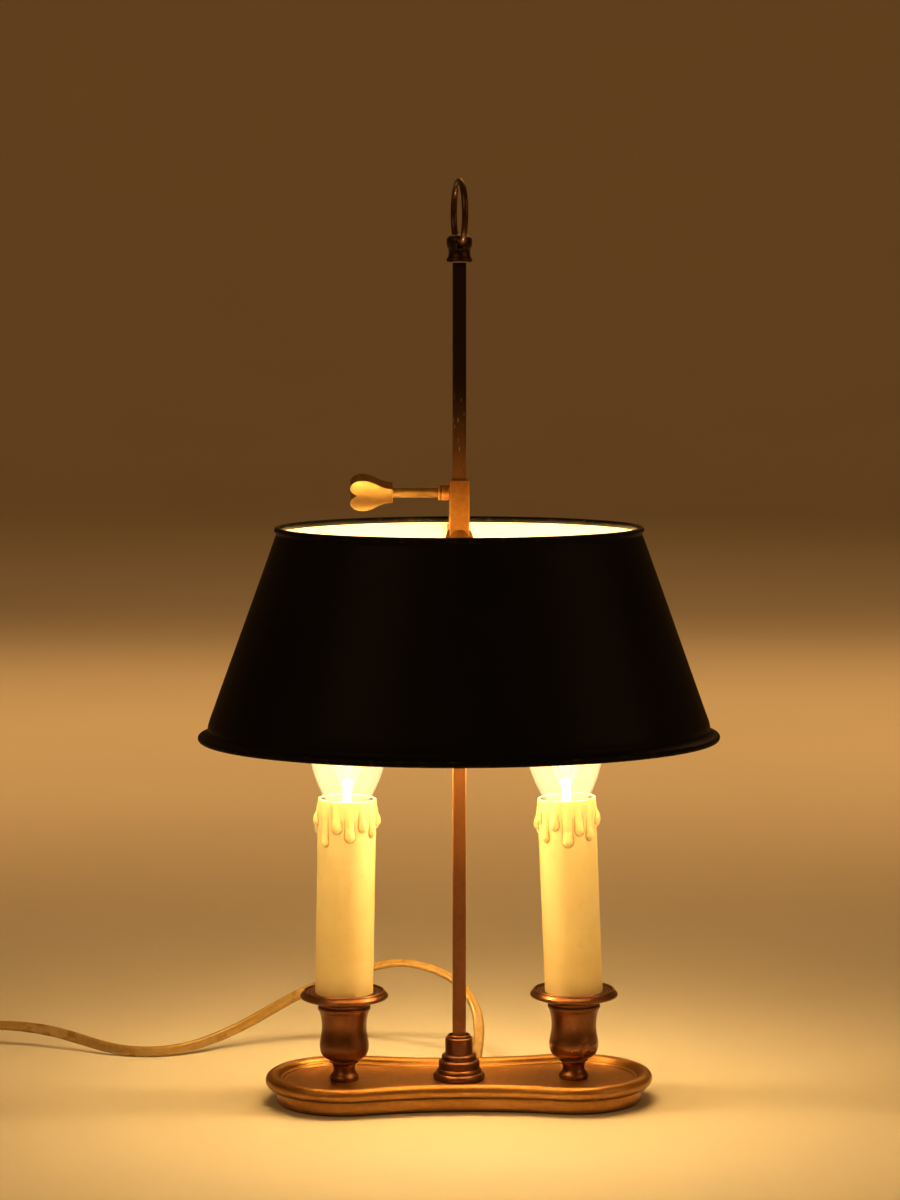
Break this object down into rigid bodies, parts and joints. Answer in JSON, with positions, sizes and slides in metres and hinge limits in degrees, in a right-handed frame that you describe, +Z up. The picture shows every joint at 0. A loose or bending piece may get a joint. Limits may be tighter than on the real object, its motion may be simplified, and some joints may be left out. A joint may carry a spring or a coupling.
{
  "type": "bouillotte lamp",
  "caption": "Table lamp with candle lights on a rolled-rim tray and an oval metal shade that slides on a square rod and is held by a heart-headed thumb screw.",
  "frame": {"origin": "on the table surface, under the axis of the square rod, at the centre of the tray", "axes": "+Z up along the rod, X along the tray's long side with the thumb screw towards -X, the front is -Y and the cord leaves at the back, +Y"},
  "size_m": [0.4586, 0.2119, 0.424],
  "materials": {
    "aged_brass": "aged, satin",
    "dark_brass": "aged dark, satin",
    "zinc_steel": "zinc plated",
    "felt": "matt",
    "bright_brass": "plain turned",
    "phenolic": "moulded",
    "ivory_resin": "satin, waxy",
    "clear_glass": "clear",
    "cap_metal": "nickel plated",
    "filament": "glowing wire on a glass stem",
    "black_tole": "black satin outside, cream inside",
    "gold_cord": "translucent flexible",
    "gold_moulding": "translucent moulded",
    "cream_plastic": "moulded",
    "lead_sleeving": "plain"
  },
  "bodies": {
    "base": {"base_tray": "aged_brass", "bottom_cover": "zinc_steel", "cover_screws": "zinc_steel", "felt_pad": "felt", "rod": "dark_brass", "rod_collar": "dark_brass", "rod_nut": "zinc_steel", "rod_washer": "zinc_steel", "cup_left": "dark_brass", "cup_right": "dark_brass", "bobeche_left": "aged_brass", "bobeche_right": "aged_brass", "nipple_left": "bright_brass", "nipple_right": "bright_brass", "nipple_nuts": "zinc_steel", "nipple_washers": "zinc_steel", "holder_bracket_left": "zinc_steel", "holder_bracket_right": "zinc_steel", "lampholder_left": "phenolic", "lampholder_right": "phenolic", "socket_shell_left": "bright_brass", "socket_shell_right": "bright_brass", "socket_contact_left": "bright_brass", "socket_contact_right": "bright_brass", "candle_cover_left": "ivory_resin", "candle_cover_right": "ivory_resin", "bulb_glass_left": "clear_glass", "bulb_glass_right": "clear_glass", "bulb_cap_left": "cap_metal", "bulb_cap_right": "cap_metal", "filament_left": "filament", "filament_right": "filament", "finial_cap": "dark_brass", "strain_relief": "gold_moulding", "cord_clamp": "cream_plastic", "clamp_screws": "zinc_steel", "splice_sleeves": "cream_plastic", "cord_inner": "gold_cord", "lead_left": "lead_sleeving", "lead_right": "lead_sleeving", "cord_lead": "gold_cord", "cord_mid": "gold_cord", "cord_coil": "gold_cord", "cord_end": "gold_cord", "switch_bottom": "cream_plastic", "switch_top": "cream_plastic", "switch_contacts": "bright_brass", "switch_screws": "zinc_steel", "plug_body": "gold_moulding", "plug_pins": "cap_metal"},
    "shade": {"shade_shell": "black_tole", "shade_spider": "dark_brass", "shade_sleeve": "dark_brass", "sleeve_nut": "dark_brass", "screw_boss": "dark_brass"},
    "screw": {"thumb_screw": "aged_brass"},
    "ring": {"finial_ring": "dark_brass"},
    "rocker": {"switch_rocker": "cream_plastic"}
  },
  "joints": [
    {"name": "shade_height", "type": "slide", "parent": "base", "child": "shade", "axis": [0, 0, 1], "range_m": [-0.045, 0.095]},
    {"name": "thumb_screw_turn", "type": "hinge", "parent": "shade", "child": "screw", "pos_m": [-0.02, 0, 0.282], "axis": [-1, 0, 0], "range_deg": [-30, 600]},
    {"name": "finial_ring_swing", "type": "hinge", "parent": "base", "child": "ring", "pos_m": [0, 0, 0.3941], "axis": [-0.1392, 0.9903, 0], "range_deg": [-90, 90]},
    {"name": "switch_rocker_press", "type": "hinge", "parent": "base", "child": "rocker", "pos_m": [-0.263, 0.056, 0.0136], "axis": [1, 0, 0], "range_deg": [0, 18]}
  ]
}
